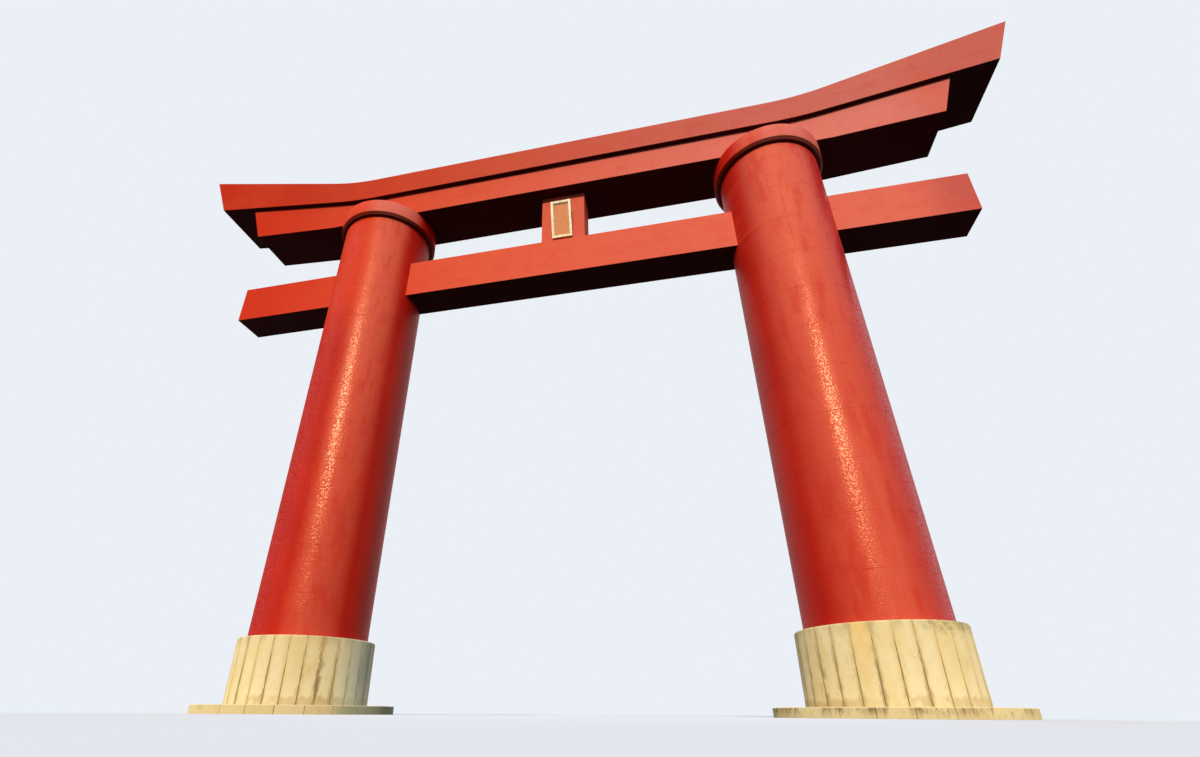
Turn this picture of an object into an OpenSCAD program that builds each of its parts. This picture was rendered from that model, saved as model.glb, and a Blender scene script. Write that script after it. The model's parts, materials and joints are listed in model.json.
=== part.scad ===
/* [Posts] */
// Distance between the post axes at ground level
post_spacing = 19660; // [18500:10:21000]
// Inward lean of each post, in degrees
post_lean = 1.18; // [0:0.01:3]
// Diameter of a post at ground level
post_foot_d = 4190; // [3600:10:4300]
// Diameter of a post under its ring
post_top_d = 4150; // [3600:10:4230]
// Height of the first pour seam above the ground
first_seam = 3890; // [2600:10:4000]
// Height of one pour of concrete
pour_h = 1720; // [1500:10:1800]
// Width of a pour seam on the shaft's face
seam_w = 20; // [10:1:40]
// Depth of a pour seam
seam_depth = 5; // [3:1:20]

/* [Drums] */
// Outer diameter of a drum over its panels
drum_d = 4780; // [4600:10:5400]
// Height of a drum above the ground
drum_h = 2420; // [1200:5:2500]
// Panels round each drum
panel_count = 28; // [16:1:40]
// Thickness of a panel
panel_t = 90; // [60:1:110]
// Width of the joint between two panels
panel_joint = 30; // [10:1:60]
// Depth of the joint between two panels
panel_joint_depth = 45; // [10:1:50]
// Bevel on the panels' top edge
panel_bevel = 45; // [0:1:55]

/* [Kerbs] */
// Outer diameter of a kerb ring
kerb_d = 6700; // [6200:10:7400]
// Height of a kerb ring
kerb_h = 270; // [150:5:500]
// Width of a kerb block from outside to inside
kerb_w = 300; // [200:5:400]
// Blocks in a kerb ring
kerb_count = 24; // [12:1:36]
// Width of the joint between two kerb blocks
kerb_joint = 16; // [6:1:40]
// Depth of the joint between two kerb blocks
kerb_joint_depth = 30; // [10:1:100]
// Depth of the bed's top below the top of the kerb
bed_drop = 15; // [0:1:80]
// Turn of the left base's joints round its axis, in degrees
left_turn = 1.5; // [-6:0.1:6]

/* [Tie beam] */
// Length of the tie beam
tie_l = 33250; // [26000:10:36000]
// Depth of the tie beam from front to back
tie_t = 1490; // [1000:2:1800]
// Height of the tie beam
tie_h = 1935; // [1400:5:2200]
// Height of the tie beam's underside above the ground
tie_z = 17770; // [17300:5:18100]

/* [Rings] */
// Outer diameter of a ring
ring_d = 4640; // [4500:10:5200]
// Height of a ring
ring_h = 820; // [500:5:1000]
// Bevel on a ring's lower edge
ring_bevel = 110; // [0:1:150]

/* [Lower lintel] */
// Height of the lower lintel's underside above the ground
low_z = 22635; // [22400:5:23200]
// Height of the lower lintel at mid span
low_h = 1235; // [900:5:1600]
// Depth of the lower lintel at its underside
low_bottom_t = 2270; // [1800:10:2500]
// Depth of the lower lintel at its top
low_top_t = 2540; // [2300:10:2900]
// Half length of the lower lintel at its underside
low_bottom_half = 16570; // [15000:5:17500]
// Half length of the lower lintel at its top
low_top_half = 17135; // [16000:5:18500]
// Rise of the lower lintel's underside for each unit of length past the ring
low_slope = 0.076; // [0:0.001:0.12]

/* [Top lintel] */
// Height of the top lintel's faces at mid span
top_h = 960; // [800:5:1300]
// Depth of the top lintel at its underside
top_bottom_t = 2970; // [2900:10:3400]
// Depth of the top lintel at its upper arris
top_top_t = 3500; // [3000:10:3800]
// Rise of the crown above the upper arrises
crown_h = 260; // [0:5:600]
// Half length of the top lintel at its underside
top_bottom_half = 19045; // [18200:5:19400]
// Half length of the top lintel at its upper arris
top_top_half = 19690; // [19000:5:19900]
// Distance from the middle at which the lintels turn up
bend_x = 10800; // [9800:10:11600]
// Length over which the underside of the top lintel turns up
bottom_bend_l = 2100; // [200:50:3000]
// Length over which the upper edge of the top lintel turns up
top_bend_l = 2550; // [200:50:3000]
// Rise of the top lintel's underside for each unit of length past the bend
bottom_slope = 0.1492; // [0:0.0001:0.2]
// Rise of the top lintel's upper edge for each unit of length past the bend
top_slope = 0.2473; // [0.2:0.0001:0.3]

/* [Strut and tablet] */
// Width of the centre strut
strut_w = 2050; // [1400:10:2400]
// Depth of the centre strut from front to back
strut_t = 1120; // [800:10:1480]
// Width of the tablet
tablet_w = 940; // [600:5:1200]
// Height of the tablet
tablet_h = 1850; // [1200:5:2000]
// Lean of the tablet, in degrees from upright
tablet_lean = 15; // [0:0.5:20]
// Width of the tablet's frame bars
frame_w = 145; // [90:1:200]
// Bevel on the bars' inner front edge
frame_bevel = 45; // [0:1:60]
// Thickness of the tablet's frame
frame_t = 150; // [120:1:200]
// Thickness of the tablet's board
board_t = 80; // [40:1:100]
// Depth of the board's face behind the frame's face
board_inset = 65; // [20:1:70]
// Height of the tablet's foot above the tie beam
tablet_lift = 175; // [0:5:300]
// Thickness of the ribs behind the tablet
bearer_t = 50; // [30:1:80]

/* [Hidden] */
$fn = 96;
vermilion = [0.78, 0.2, 0.11];
cream = [0.86, 0.78, 0.6];
buff = [0.78, 0.73, 0.6];
grey = [0.62, 0.6, 0.55];
gold = [0.86, 0.68, 0.33];
brown_red = [0.66, 0.3, 0.17];
left = -1;
right = 1;
// Overrun of a cutting shape past the face it cuts
past = 50;
// Least length left between the last pour seam and what comes above it
seam_clear = 200;
// Straight steps that draw a lintel's bend, and those from there to its slanted end
bend_steps = 16;
end_steps = 8;

drum_r = drum_d / 2;
kerb_r = kerb_d / 2;
ring_r = ring_d / 2;
bed_h = kerb_h - bed_drop;
// Drum, kerb and bed are centred on the post where it leaves the drum
base_x = post_axis(drum_h);
ring_z = low_z - ring_h;
tie_top = tie_z + tie_h;
low_top_z = low_z + low_h;
arris_z = low_top_z + top_h;

// Pour seams are counted from 0 at first_seam; the shaft is divided at three of them
foot_pour = 2;
crossing_pour = floor((tie_z - first_seam - seam_clear) / pour_h);
neck_pour = floor((ring_z - first_seam - seam_clear) / pour_h);

split_x = post_axis(low_top_z);
bend_l = max(bottom_bend_l, top_bend_l);
bend_end = bend_x + bend_l / 2;
turn_x = max(bend_end, post_axis(low_z) + ring_r);
bend_stations = [for (i = [0:bend_steps]) bend_x - bend_l / 2 + bend_l * i / bend_steps];
inner_stations = [for (x = bend_stations) if (x < split_x - past) x];
outer_stations = concat([split_x], [for (x = bend_stations) if (x > split_x + past) x],
    turn_x > bend_end ? [turn_x] : []);
centre_stations = concat([-split_x], [for (i = [len(inner_stations) - 1:-1:0]) -inner_stations[i]],
    inner_stations, [split_x]);
end_slant = (top_top_half - top_bottom_half) / (arris_height(top_top_half) - seat_z(top_bottom_half));
ridge_half = top_top_half + end_slant * crown_h / (1 - end_slant * top_slope);

function post_axis(z) = post_spacing / 2 - z * tan(post_lean);
function post_radius(z) = (post_foot_d + (post_top_d - post_foot_d) * z / ring_z) / 2;
// Place of a joint between two of the equal parts round a base
function joint_turn(side, i, count) = 270 + (i + 0.5) * 360 / count + (side == left ? left_turn : 0);
// Place of a pour seam, up the post's own axis
function seam_at(pour) = first_seam + pour * pour_h;

// Height gained past a bend: none before it, a parabola through it, an even slope after it
function rise(x, length, slope) = let(run = x - bend_x + length / 2)
    run <= 0 ? 0 : run >= length ? slope * (x - bend_x) : slope * run * run / (2 * length);
function seat_z(x) = low_top_z + rise(abs(x), bottom_bend_l, bottom_slope);
function arris_height(x) = arris_z + rise(abs(x), top_bend_l, top_slope);
function underside_z(x) = low_z + low_slope * max(0, abs(x) - turn_x);

// Place of a step between the turn and the end, for an edge that ends at half_l
function towards_end(step, half_l) = turn_x + (half_l - turn_x) * step / end_steps;

// Cross-sections of the lintels, from the underside's front corner round by the back
function low_section(under_x, upper_x) = [
    [under_x, -low_bottom_t / 2, underside_z(under_x)], [under_x, low_bottom_t / 2, underside_z(under_x)],
    [upper_x, low_top_t / 2, seat_z(upper_x)], [upper_x, -low_top_t / 2, seat_z(upper_x)]];
function top_section(under_x, arris_x, ridge_x) = [
    [under_x, -top_bottom_t / 2, seat_z(under_x)], [under_x, top_bottom_t / 2, seat_z(under_x)],
    [arris_x, top_top_t / 2, arris_height(arris_x)], [ridge_x, 0, arris_height(ridge_x) + crown_h],
    [arris_x, -top_top_t / 2, arris_height(arris_x)]];

module at_post(side) {
    translate([side * post_spacing / 2, 0, 0]) children();
}

module at_base(side) {
    translate([side * base_x, 0, 0]) children();
}

// Solid drawn through cross-sections that follow each other along x or y
module loft(sections) {
    n = len(sections[0]);
    last = len(sections) - 1;
    polyhedron(points = [for (s = sections) for (p = s) p], faces = concat(
        [[for (j = [0:n - 1]) j]],
        [for (i = [0:last - 1]) for (j = [0:n - 1]) [i * n + j, (i + 1) * n + j, (i + 1) * n + (j + 1) % n]],
        [for (i = [0:last - 1]) for (j = [0:n - 1]) [i * n + j, (i + 1) * n + (j + 1) % n, i * n + (j + 1) % n]],
        [[for (j = [n - 1:-1:0]) last * n + j]]));
}

// Stretch of the leaning shaft between two places up its axis, with a V groove at each pour seam
module shaft(side, from_d, to_d, pours = []) {
    at_post(side) rotate([0, -side * post_lean, 0]) rotate_extrude() difference() {
        polygon([[0, from_d], [post_radius(from_d), from_d], [post_radius(to_d), to_d], [0, to_d]]);
        for (i = pours) seam_groove(i);
    }
}

module seam_groove(pour) {
    half_mouth = seam_w / 2 * (seam_depth + past) / seam_depth;
    translate([post_radius(seam_at(pour)), seam_at(pour)])
        polygon([[-seam_depth, 0], [past, -half_mouth], [past, half_mouth]]);
}

module tie_space() {
    translate([-tie_l / 2, -tie_t / 2, tie_z]) cube([tie_l, tie_t, tie_h]);
}

// Slab of space as wide as the kerb, from one height to another
module level_slab(side, from_z, to_z) {
    at_post(side) translate([-kerb_r, -kerb_r, from_z]) cube([kerb_d, kerb_d, to_z - from_z]);
}

module post_foot(side) {
    color(vermilion) intersection() {
        shaft(side, -past, seam_at(foot_pour), [0:foot_pour]);
        level_slab(side, 0, ring_z);
    }
}

module post_middle(side) {
    color(vermilion) shaft(side, seam_at(foot_pour), seam_at(crossing_pour), [foot_pour:crossing_pour]);
}

// The length with the mortise that the tie beam passes through
module post_crossing(side) {
    color(vermilion) difference() {
        shaft(side, seam_at(crossing_pour), seam_at(neck_pour), [crossing_pour:neck_pour]);
        tie_space();
    }
}

module post_neck(side) {
    color(vermilion) intersection() {
        shaft(side, seam_at(neck_pour), low_z, [neck_pour]);
        level_slab(side, 0, ring_z);
    }
}

module kerb(side) {
    color(buff) at_base(side) difference() {
        cylinder(h = kerb_h, r = kerb_r);
        translate([0, 0, -past]) cylinder(h = kerb_h + 2 * past, r = kerb_r - kerb_w);
        for (i = [0:kerb_count - 1]) rotate([0, 0, joint_turn(side, i, kerb_count)]) {
            translate([kerb_r - kerb_joint_depth, -kerb_joint / 2, -past])
                cube([kerb_w, kerb_joint, kerb_h + 2 * past]);
            translate([kerb_r - kerb_w - past, -kerb_joint / 2, kerb_h - kerb_joint_depth])
                cube([kerb_w + 2 * past, kerb_joint, kerb_h]);
        }
    }
}

module bed(side) {
    color(grey) at_base(side) difference() {
        cylinder(h = bed_h, r = kerb_r - kerb_w);
        translate([0, 0, -past]) cylinder(h = bed_h + 2 * past, r = drum_r);
    }
}

module drum_core(side) {
    color(cream) difference() {
        at_base(side) cylinder(h = drum_h, r = drum_r - panel_t);
        shaft(side, -past, low_z);
    }
}

module drum_cladding(side) {
    color(cream) at_base(side) difference() {
        rotate_extrude() polygon([[drum_r - panel_t, 0], [drum_r, 0], [drum_r, drum_h - panel_bevel],
            [drum_r - panel_bevel, drum_h], [drum_r - panel_t, drum_h]]);
        for (i = [0:panel_count - 1]) rotate([0, 0, joint_turn(side, i, panel_count)])
            translate([drum_r - panel_joint_depth, -panel_joint / 2, bed_h])
                cube([panel_t, panel_joint, drum_h]);
    }
}

module ring(side) {
    color(vermilion) translate([side * post_axis(low_z), 0, ring_z]) rotate_extrude()
        polygon([[0, 0], [ring_r - ring_bevel, 0], [ring_r, ring_bevel], [ring_r, ring_h], [0, ring_h]]);
}

module tie_beam() {
    color(vermilion) tie_space();
}

module strut() {
    color(vermilion) translate([-strut_w / 2, -strut_t / 2, tie_top])
        cube([strut_w, strut_t, low_z - tie_top]);
}

// Turns the tablet's own axes, x to the right and z up its face, so that it leans out over its foot
module at_tablet() {
    translate([0, -strut_t / 2 - frame_t * cos(tablet_lean), tie_top + tablet_lift])
        rotate([tablet_lean, 0, 0]) children();
}

module tablet_board() {
    color(brown_red) at_tablet() translate([-tablet_w / 2 + frame_w, board_inset, frame_w])
        cube([tablet_w - 2 * frame_w, board_t, tablet_h - 2 * frame_w]);
}

// Outline of the space inside the bars, made larger by grow on each side
function frame_opening(y, grow = 0) = let(half_w = tablet_w / 2 - frame_w + grow, low = frame_w - grow)
    [[half_w, y, low], [-half_w, y, low], [-half_w, y, tablet_h - low], [half_w, y, tablet_h - low]];

module tablet_frame() {
    color(gold) at_tablet() difference() {
        translate([-tablet_w / 2, 0, 0]) cube([tablet_w, frame_t, tablet_h]);
        loft([frame_opening(-past, frame_bevel + past), frame_opening(frame_bevel), frame_opening(frame_t + past)]);
    }
}

// Two upright ribs that hold the tablet off the strut
module tablet_bearers() {
    color(grey) difference() {
        for (side = [left, right]) translate([side * (tablet_w - frame_w) / 2 - bearer_t / 2,
            -strut_t / 2 - tablet_h, tie_top + tablet_lift + frame_w])
                cube([bearer_t, tablet_h, tablet_h * cos(tablet_lean) - 2 * frame_w]);
        at_tablet() translate([-tablet_w, frame_t - 2 * tablet_h, -tablet_h])
            cube([2 * tablet_w, 2 * tablet_h, 3 * tablet_h]);
    }
}

module lower_lintel_end() {
    color(vermilion) loft(concat([for (x = outer_stations) low_section(x, x)],
        [for (i = [1:end_steps]) low_section(towards_end(i, low_bottom_half), towards_end(i, low_top_half))]));
}

module lower_lintel_centre() {
    color(vermilion) loft([for (x = centre_stations) low_section(x, x)]);
}

module top_lintel_end() {
    color(vermilion) loft(concat([for (x = outer_stations) top_section(x, x, x)],
        [for (i = [1:end_steps]) top_section(towards_end(i, top_bottom_half), towards_end(i, top_top_half),
            towards_end(i, ridge_half))]));
}

module top_lintel_centre() {
    color(vermilion) loft([for (x = centre_stations) top_section(x, x, x)]);
}

kerb(left);  // left_kerb
kerb(right);  // right_kerb
bed(left);  // left_bed
bed(right);  // right_bed
drum_core(left);  // left_drum_core
drum_core(right);  // right_drum_core
drum_cladding(left);  // left_drum_cladding
drum_cladding(right);  // right_drum_cladding
post_foot(left);  // left_post_foot
post_foot(right);  // right_post_foot
post_middle(left);  // left_post_middle
post_middle(right);  // right_post_middle
post_crossing(left);  // left_post_crossing
post_crossing(right);  // right_post_crossing
post_neck(left);  // left_post_neck
post_neck(right);  // right_post_neck
ring(left);  // left_ring
ring(right);  // right_ring
tie_beam();
strut();
tablet_board();
tablet_frame();
tablet_bearers();
mirror([1, 0, 0]) lower_lintel_end();  // lower_lintel_left
lower_lintel_centre();
lower_lintel_end();  // lower_lintel_right
mirror([1, 0, 0]) top_lintel_end();  // top_lintel_left
top_lintel_centre();
top_lintel_end();  // top_lintel_right
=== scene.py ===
from collections import namedtuple
import json
import math
import random

import bmesh
import bpy
from mathutils import Matrix, Vector


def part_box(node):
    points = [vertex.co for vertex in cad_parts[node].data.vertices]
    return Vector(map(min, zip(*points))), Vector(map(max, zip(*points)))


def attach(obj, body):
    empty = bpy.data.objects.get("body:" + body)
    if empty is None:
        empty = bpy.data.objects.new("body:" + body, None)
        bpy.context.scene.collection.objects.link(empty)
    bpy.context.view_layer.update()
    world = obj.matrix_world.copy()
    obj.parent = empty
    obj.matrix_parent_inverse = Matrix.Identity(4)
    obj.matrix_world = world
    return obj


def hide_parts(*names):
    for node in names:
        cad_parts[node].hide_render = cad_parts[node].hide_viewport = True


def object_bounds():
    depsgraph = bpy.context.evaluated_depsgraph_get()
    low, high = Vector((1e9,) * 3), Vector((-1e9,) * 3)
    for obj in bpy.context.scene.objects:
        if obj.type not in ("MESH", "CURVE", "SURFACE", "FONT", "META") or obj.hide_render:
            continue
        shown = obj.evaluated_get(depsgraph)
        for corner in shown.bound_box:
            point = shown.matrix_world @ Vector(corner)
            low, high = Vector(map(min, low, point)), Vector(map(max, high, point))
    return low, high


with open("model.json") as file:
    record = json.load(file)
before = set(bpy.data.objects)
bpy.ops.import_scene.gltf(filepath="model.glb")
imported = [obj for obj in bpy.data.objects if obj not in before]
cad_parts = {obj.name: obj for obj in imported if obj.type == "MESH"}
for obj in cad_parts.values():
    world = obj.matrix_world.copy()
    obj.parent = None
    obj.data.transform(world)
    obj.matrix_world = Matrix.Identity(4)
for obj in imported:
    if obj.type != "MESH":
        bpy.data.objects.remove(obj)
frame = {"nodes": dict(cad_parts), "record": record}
cad_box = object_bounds()

LEFT = -1
RIGHT = 1
SIDES = {"left": LEFT, "right": RIGHT}

# Counts, and sizes in metres
PANELS = 28
PANEL_T = 0.09
PANEL_JOINT = 0.02
PANEL_BEVEL = 0.045
PANEL_ARRIS = 0.004
# How far back a panel's face may lie
PANEL_PLAY = 0.006
MORTAR_DEPTH = 0.014
MORTAR_BEVEL = 0.012
MORTAR_BELOW_RIM = 0.006
MORTAR_BEHIND_PANELS = 0.002
MORTAR_STEPS = 4 * PANELS
KERB_BLOCKS = 24
KERB_W = 0.3
KERB_JOINT = 0.012
KERB_ARRIS = 0.014
# How far back a kerb block's face and top may lie, and how far each end may be out of place in radians
KERB_PLAY = 0.008
KERB_TOP_PLAY = 0.006
KERB_END_PLAY = 0.0005
# Steps along the face of a panel or a kerb block
FACE_STEPS = 6
# Where the two slopes of a rounded edge meet: the share of the bevel back, and down for panels and blocks
BEND_BACK = 0.3
PANEL_BEND_DOWN = 0.35
KERB_BEND_DOWN = 0.3
BEAM_ARRIS = 0.02
RING_ARRIS = 0.012
# Azimuth of the middle of each base's first panel and first kerb block
FRONT = {LEFT: math.radians(271.5), RIGHT: math.radians(270)}
# Seams in a post's foot, and pours in its crossing
FOOT_SEAMS = 3
CROSSING_POURS = 3

# The frame's own places
mounts = {m["name"]: Vector(m["pos_m"]) for m in frame["record"]["mounts"]}


def size_of(node):
    low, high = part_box(node)
    return high - low


def centre_of(node):
    low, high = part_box(node)
    return (low + high) / 2


BASE_X = mounts["right_foot"].x
RING_X = centre_of("right_ring").x
RING_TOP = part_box("right_ring")[1].z
MIDDLE = centre_of("right_post_middle")
# How far a post leans in for each metre up, and where its axis meets the ground
LEAN = (MIDDLE.x - RING_X) / (RING_TOP - MIDDLE.z)
FOOT_X = RING_X + LEAN * RING_TOP
POST_R = size_of("right_post_middle").y / 2
DRUM_R = size_of("right_drum_cladding").y / 2
DRUM_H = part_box("right_drum_cladding")[1].z
KERB_R = size_of("right_kerb").y / 2
KERB_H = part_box("right_kerb")[1].z
BED_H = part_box("right_bed")[1].z
CROSSING_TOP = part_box("right_post_crossing")[1].z
MIDDLE_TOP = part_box("right_post_middle")[1].z
# How far a seam rises from a post's axis to its side, the height of a pour, and where the first seam lies
SEAM_TILT = POST_R * LEAN
POUR = (CROSSING_TOP - MIDDLE_TOP) / CROSSING_POURS
FIRST_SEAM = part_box("right_post_foot")[1].z - SEAM_TILT - (FOOT_SEAMS - 1) * POUR
# Half the widths of the top lintel and the tie beam
BEAM_HALF = cad_box[1].x
TIE_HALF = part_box("tie_beam")[1].x

Place = namedtuple("Place", "x y z")
# A cloudy pattern: its scale, how much a place counts along each axis, its octaves, and how strong the finer
# ones are
Marks = namedtuple("Marks", "scale counts detail roughness", defaults=((1, 1, 1), 3.0, 0.55))
# A number that goes smoothly from first to last while a value goes from low to high
Fade = namedtuple("Fade", "low high first last", defaults=(0.0, 1.0))
# A stretch of a round side: the azimuth of its middle in degrees, the cosines of the turn from there at which
# it starts and is full, and its greatest share
Stretch = namedtuple("Stretch", "at start full most", defaults=(1.0,))
# The relief of a surface: depth in metres, and strength
Relief = namedtuple("Relief", "depth strength", defaults=(1.0,))
# Where a mix of colours takes them in
MIX_ONE = 6
MIX_OTHER = 7


class Finish:
    """One material, with short calls that add nodes to it."""

    def __init__(self, name, surface):
        self.material = bpy.data.materials.new(name)
        self.material.use_nodes = True
        self.tree = self.material.node_tree
        self.tree.nodes.clear()
        output = self.tree.nodes.new("ShaderNodeOutputMaterial")
        self.surface = self.add("ShaderNodeBsdfPrincipled", surface)
        self.tree.links.new(self.surface.outputs["BSDF"], output.inputs["Surface"])
        self.place = self.axes(self.add("ShaderNodeTexCoord").outputs["Object"])

    def add(self, kind, inputs=None, **settings):
        made = self.tree.nodes.new(kind)
        for name, value in settings.items():
            setattr(made, name, value)
        for name, value in (inputs or {}).items():
            self.put(value, made.inputs[name])
        return made

    def put(self, value, socket):
        if isinstance(value, bpy.types.NodeSocket):
            self.tree.links.new(value, socket)
        else:
            socket.default_value = value

    def math(self, operation, *values, clamp=False):
        made = self.add("ShaderNodeMath", operation=operation, use_clamp=clamp)
        for i, value in enumerate(values):
            self.put(value, made.inputs[i])
        return made.outputs[0]

    def times(self, *values):
        """Product of two values or more."""
        result = values[0]
        for value in values[1:]:
            result = self.math("MULTIPLY", result, value)
        return result

    def total(self, *parts):
        """Sum of values, each given with its weight."""
        result = 0.0
        for value, weight in parts:
            result = self.math("MULTIPLY_ADD", value, weight, result)
        return result

    def axes(self, vector):
        made = self.add("ShaderNodeSeparateXYZ", {"Vector": vector})
        return Place(made.outputs["X"], made.outputs["Y"], made.outputs["Z"])

    def marks(self, kind, place=None):
        """A cloudy pattern of values between 0 and 1."""
        counted = [axis if count == 1 else self.times(axis, count)
                   for axis, count in zip(place or self.place, kind.counts)]
        vector = self.add("ShaderNodeCombineXYZ", dict(zip("XYZ", counted))).outputs["Vector"]
        inputs = {"Vector": vector, "Scale": kind.scale, "Detail": kind.detail, "Roughness": kind.roughness}
        return self.add("ShaderNodeTexNoise", inputs).outputs["Fac"]

    def lottery(self, value, offset):
        """A number between 0 and 1 that is drawn for a value, another one for another offset."""
        drawn = self.math("ADD", value, offset)
        return self.add("ShaderNodeTexWhiteNoise", {"W": drawn}, noise_dimensions="1D").outputs["Value"]

    def fade(self, value, kind):
        """The number that a fade gives for a value."""
        inputs = {"Value": value, "From Min": kind.low, "From Max": kind.high,
                  "To Min": kind.first, "To Max": kind.last}
        made = self.add("ShaderNodeMapRange", inputs, interpolation_type="SMOOTHSTEP", clamp=True)
        return made.outputs["Result"]

    def within(self, place, radius, stretch):
        """0 outside a stretch of a round side, rising to its greatest share inside it."""
        at = math.radians(stretch.at)
        cosine = self.total((place.y, math.sin(at) / radius), (place.x, math.cos(at) / radius))
        return self.fade(cosine, Fade(stretch.start, stretch.full, 0.0, stretch.most))

    def mix(self, share, one, other):
        made = self.add("ShaderNodeMix", data_type="RGBA", clamp_factor=True)
        self.put(share, made.inputs["Factor"])
        for value, socket in ((one, made.inputs[MIX_ONE]), (other, made.inputs[MIX_OTHER])):
            self.put(value if isinstance(value, bpy.types.NodeSocket) else (*value, 1.0), socket)
        return made.outputs[2]

    def layer(self, colour, other, value, kind):
        """Another colour over the first, by the share that a fade gives for a value."""
        return self.mix(self.fade(value, kind), colour, other)

    def bump(self, height, relief):
        inputs = {"Height": height, "Distance": relief.depth, "Strength": relief.strength}
        return self.add("ShaderNodeBump", inputs).outputs["Normal"]

    def wear(self, colour, roughness=None, normal=None):
        for value, name in ((colour, "Base Color"), (roughness, "Roughness"), (normal, "Normal")):
            if value is not None:
                self.put(value, self.surface.inputs[name])
        return self.material


def post_place(finish, side):
    """Places measured from a post's own axis: across, front to back, and up along the leaning shaft."""
    x, y, z = finish.place
    axis = finish.math("MULTIPLY_ADD", z, -side * LEAN, side * FOOT_X)
    across = finish.math("SUBTRACT", x, axis)
    return Place(across, y, finish.math("MULTIPLY_ADD", across, -side * LEAN, z))


def base_place(finish, side):
    """Places measured from the axis of a drum and its kerb."""
    return finish.place._replace(x=finish.math("SUBTRACT", finish.place.x, side * BASE_X))


def turns_at(angle, side, parts):
    """Place round a base, counted in equal parts, the first of which has its middle at the front."""
    return (angle - FRONT[side]) * parts / math.tau + 0.5 + parts


def turns_round(finish, place, side, parts):
    azimuth = finish.math("ARCTAN2", place.y, place.x)
    turns = finish.math("MULTIPLY_ADD", azimuth, parts / math.tau, turns_at(0.0, side, parts))
    return finish.math("WRAP", turns, parts, 0.0)


def off_middle_of(finish, turns):
    """How far a place lies from the middle of its part, where a whole part counts as 1."""
    return finish.math("ABSOLUTE", finish.math("SUBTRACT", finish.math("FRACT", turns), 0.5))


# What the posts, rings and beams share
VERMILION = (0.6, 0.034, 0.01)
VERMILION_DARK = (0.36, 0.012, 0.006)
VERMILION_LIGHT = (0.74, 0.1, 0.046)
# A pale pink painted as reflected glow on the rings and on the right part of the lintels
VERMILION_PAINTED_GLOW = (0.73, 0.2, 0.155)
# Near-black painted shade for the faces that look down
VERMILION_SHADE_BLACK = (0.03, 0.003, 0.003)
# Brush marks, at the scale they have on the beams
BRUSH = Marks(14.0, (1, 1, 1.5), detail=4.0, roughness=0.6)
# Share of painted shade, near black, on a face by how far its normal points up
UNDERSIDE_SHADE_FADE = Fade(-0.8, -0.54, 1.0, 0.0)


def painted_underside_shade(finish, colour, most):
    """Near-black painted shade on the faces that look down."""
    up = finish.axes(finish.add("ShaderNodeNewGeometry").outputs["True Normal"]).z
    return finish.mix(finish.times(finish.fade(up, UNDERSIDE_SHADE_FADE), most), colour, VERMILION_SHADE_BLACK)


# The upright mark of a formwork joint on the right post: its azimuth, half its width, and how that wavers
JOINT_AT = math.radians(265)
JOINT_HALF_W = 0.07
JOINT_RAGGED = Marks(5.0, (1, 1, 0.5), detail=4.0)
JOINT_WIDTH = Fade(0.35, 0.7, 0.3 * JOINT_HALF_W, 2.0 * JOINT_HALF_W)
# Heights over which the mark sets in and ends
JOINT_IN = Fade(15.6, 16.2)
JOINT_OUT = Fade(19.2, 19.8, 1.0, 0.0)


def upright_joint(finish, place):
    """1 along the ragged mark of a formwork joint."""
    across = finish.total((place.y, -math.cos(JOINT_AT)), (place.x, math.sin(JOINT_AT)))
    width = finish.fade(finish.marks(JOINT_RAGGED, place), JOINT_WIDTH)
    off = finish.math("DIVIDE", finish.math("ABSOLUTE", across), width)
    line = finish.math("SUBTRACT", 1.0, off, clamp=True)
    front = finish.math("LESS_THAN", place.y, 0.0)
    return finish.times(line, finish.fade(place.z, JOINT_IN), finish.fade(place.z, JOINT_OUT), front)


# Keep the count of pours above nought, and the draws of the two sides apart
POURS_SPARE = 20
POUR_LOTS = 40.0
# How far from a seam, in pours, its line fades out, and where the line is broken
SEAM_LINE = Fade(0.003, 0.018, 1.0, 0.0)
SEAM_BREAKS = Marks(1.3, detail=4.0)
SEAM_WHOLE = Fade(0.45, 0.65)


def pour_marks(finish, place, side):
    """The tone of each pour, and 1 along the broken seams between pours."""
    pours = finish.math("MULTIPLY_ADD", place.z, 1 / POUR, POURS_SPARE - FIRST_SEAM / POUR)
    tone = finish.lottery(finish.math("FLOOR", pours), side * POUR_LOTS)
    off_seam = off_middle_of(finish, finish.math("ADD", pours, 0.5))
    whole = finish.fade(finish.marks(SEAM_BREAKS), SEAM_WHOLE)
    return tone, finish.times(finish.fade(off_seam, SEAM_LINE), whole)


# Colours of the posts and rings
POST_RED = (0.53, 0.006, 0.001)
POST_DARK = (0.32, 0.003, 0.001)
POST_LIGHT = (0.62, 0.02, 0.005)
# A pale orange painted as the sun's sheen on the posts and rings
POST_PAINTED_SHEEN = (0.77, 0.13, 0.075)
# A bluer crimson painted as the sky's reflection on the right post's side
POST_CRIMSON_REFLECTION = (0.5, 0.02, 0.03)
# A lighter orange painted as sunlight on the left post's upper part
POST_SUNLIT_ORANGE = (0.74, 0.04, 0.0)
SEAM_RED = (0.26, 0.014, 0.008)
# Tone between the dark and the light red: the weights of what makes it up, and how it shows
POST_PATCHES = Marks(0.7, (1, 1, 0.6), detail=4.0)
POST_RUNS = Marks(2.6, (1, 1, 0.06), detail=4.0)
PATCHES_WEIGHT = 0.75
RUNS_WEIGHT = 0.35
POUR_WEIGHT = 0.05
TONE_FADE = Fade(0.35, 0.85)
EVEN_SHARE = 0.6
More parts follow.
